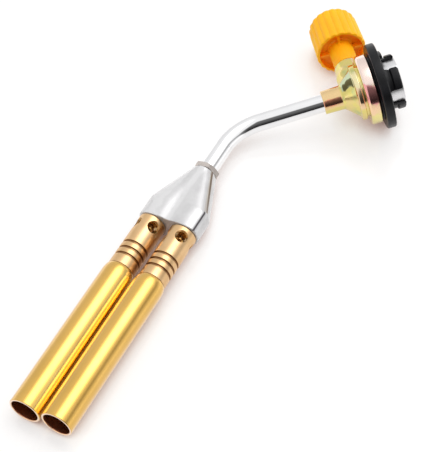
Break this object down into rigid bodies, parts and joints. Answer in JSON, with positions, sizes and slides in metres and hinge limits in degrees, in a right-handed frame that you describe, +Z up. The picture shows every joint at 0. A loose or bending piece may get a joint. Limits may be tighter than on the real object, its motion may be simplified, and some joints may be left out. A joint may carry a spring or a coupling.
{
  "type": "blowtorch head",
  "caption": "Hand gas torch head: side-by-side brass burner barrels on a tapered manifold, bent chrome neck, control valve with fluted knob, bayonet coupling for a gas cartridge.",
  "frame": {"origin": "middle of the bounding box, on the table the torch lies on", "axes": "+X from the burner mouths towards the coupling, +Y towards the left barrel, +Z up"},
  "size_m": [0.2838, 0.0918, 0.045],
  "materials": {
    "black_plastic": "semi-matte black moulding",
    "coupling_nickel": "fine turned, pale grey",
    "turned_brass": "turned",
    "black_rubber": "matte",
    "sintered_bronze": "porous",
    "yellow_zinc": "yellow passivated plating with a faint pink and green sheen",
    "neck_chrome": "polished plating",
    "nut_nickel": "plated",
    "red_fibre": "pressed fibre",
    "satin_aluminium": "satin",
    "rose_brass": "fine turned",
    "plain_steel": "plain",
    "polished_brass": "polished and lacquered",
    "orange_plastic": "satin moulding"
  },
  "bodies": {
    "torch_body": {"bayonet_flange": "black_plastic", "coupling_sleeve": "coupling_nickel", "inlet_probe": "turned_brass", "inlet_seal": "black_rubber", "inlet_filter": "sintered_bronze", "valve_body": "yellow_zinc", "neck_tube": "neck_chrome", "lock_nut": "nut_nickel", "neck_seal": "red_fibre", "manifold": "satin_aluminium", "gas_jet_left": "turned_brass", "gas_jet_right": "turned_brass", "jet_washer_left": "red_fibre", "jet_washer_right": "red_fibre", "mixing_tube_left": "rose_brass", "mixing_tube_right": "rose_brass", "flame_holder_left": "plain_steel", "flame_holder_right": "plain_steel", "burner_barrel_left": "polished_brass", "burner_barrel_right": "polished_brass", "gland_nut": "turned_brass"},
    "spindle_carriage": {"spindle_oring": "black_rubber"},
    "knob_and_spindle": {"knob": "orange_plastic", "valve_spindle": "plain_steel"}
  },
  "joints": [
    {"name": "spindle_travel", "type": "slide", "parent": "torch_body", "child": "spindle_carriage", "axis": [0.7707, 0.6217, -0.1397], "range_m": [0, 0.0015]},
    {"name": "knob_turn", "type": "hinge", "parent": "spindle_carriage", "child": "knob_and_spindle", "pos_m": [0.09124, -0.02017, 0.02035], "axis": [0.7707, 0.6217, -0.1397], "range_deg": [0, 540]}
  ],
  "couplings": [
    {"joint": "knob_turn", "follows": "spindle_travel", "rad_per_m": 6283.2}
  ]
}
